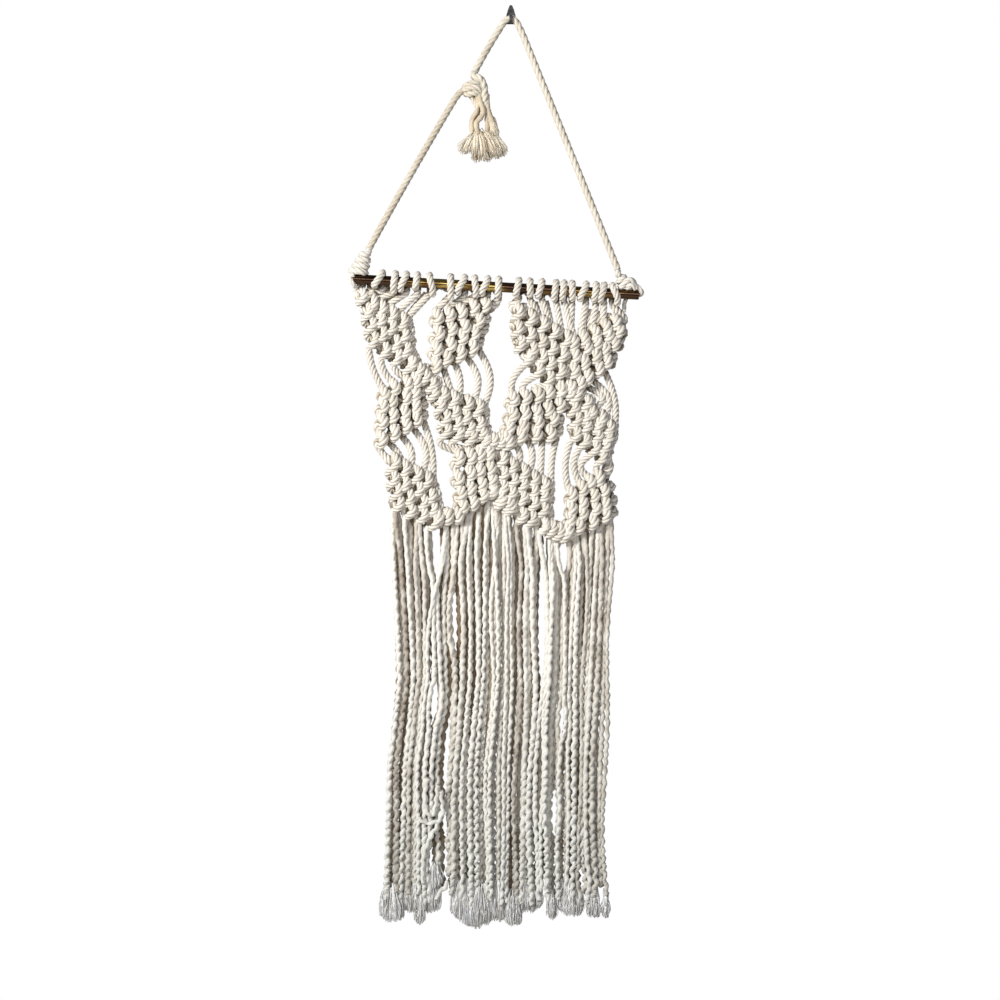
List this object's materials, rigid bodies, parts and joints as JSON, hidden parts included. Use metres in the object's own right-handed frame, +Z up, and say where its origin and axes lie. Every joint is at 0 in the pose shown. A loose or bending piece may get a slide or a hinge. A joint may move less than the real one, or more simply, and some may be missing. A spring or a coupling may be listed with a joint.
{
  "type": "macrame wall hanging with rod and wall hook",
  "caption": "Knotted cream cotton panel with long unlaid fringe on a thin brass rod, hung by a rope from a small wall hook.",
  "frame": {"origin": "middle of the hook plate's back face, where it lies on the wall", "axes": "+Z up, +X to the viewer's right, +Y into the wall; the hanging faces -Y"},
  "size_m": [0.2961, 0.0301, 0.9248],
  "materials": {
    "cotton_rope": "three-strand laid cotton rope, matt, undyed cream",
    "cotton_fringe": "unlaid cotton plies, wavy and matt, cut ends frayed",
    "aged_brass": "aged brass with brown patina",
    "hook_steel": "dark blackened steel"
  },
  "bodies": {
    "root": {"wall_hook": "hook_steel", "rod": "aged_brass", "hanger_rope_left": "cotton_rope", "hanger_rope_right": "cotton_rope", "join_knot": "cotton_rope", "join_tassel": "cotton_fringe", "left_end_knot": "cotton_rope", "right_end_knot": "cotton_rope", "knotted_panel": "cotton_rope", "fringe": "cotton_fringe"}
  },
  "joints": []
}
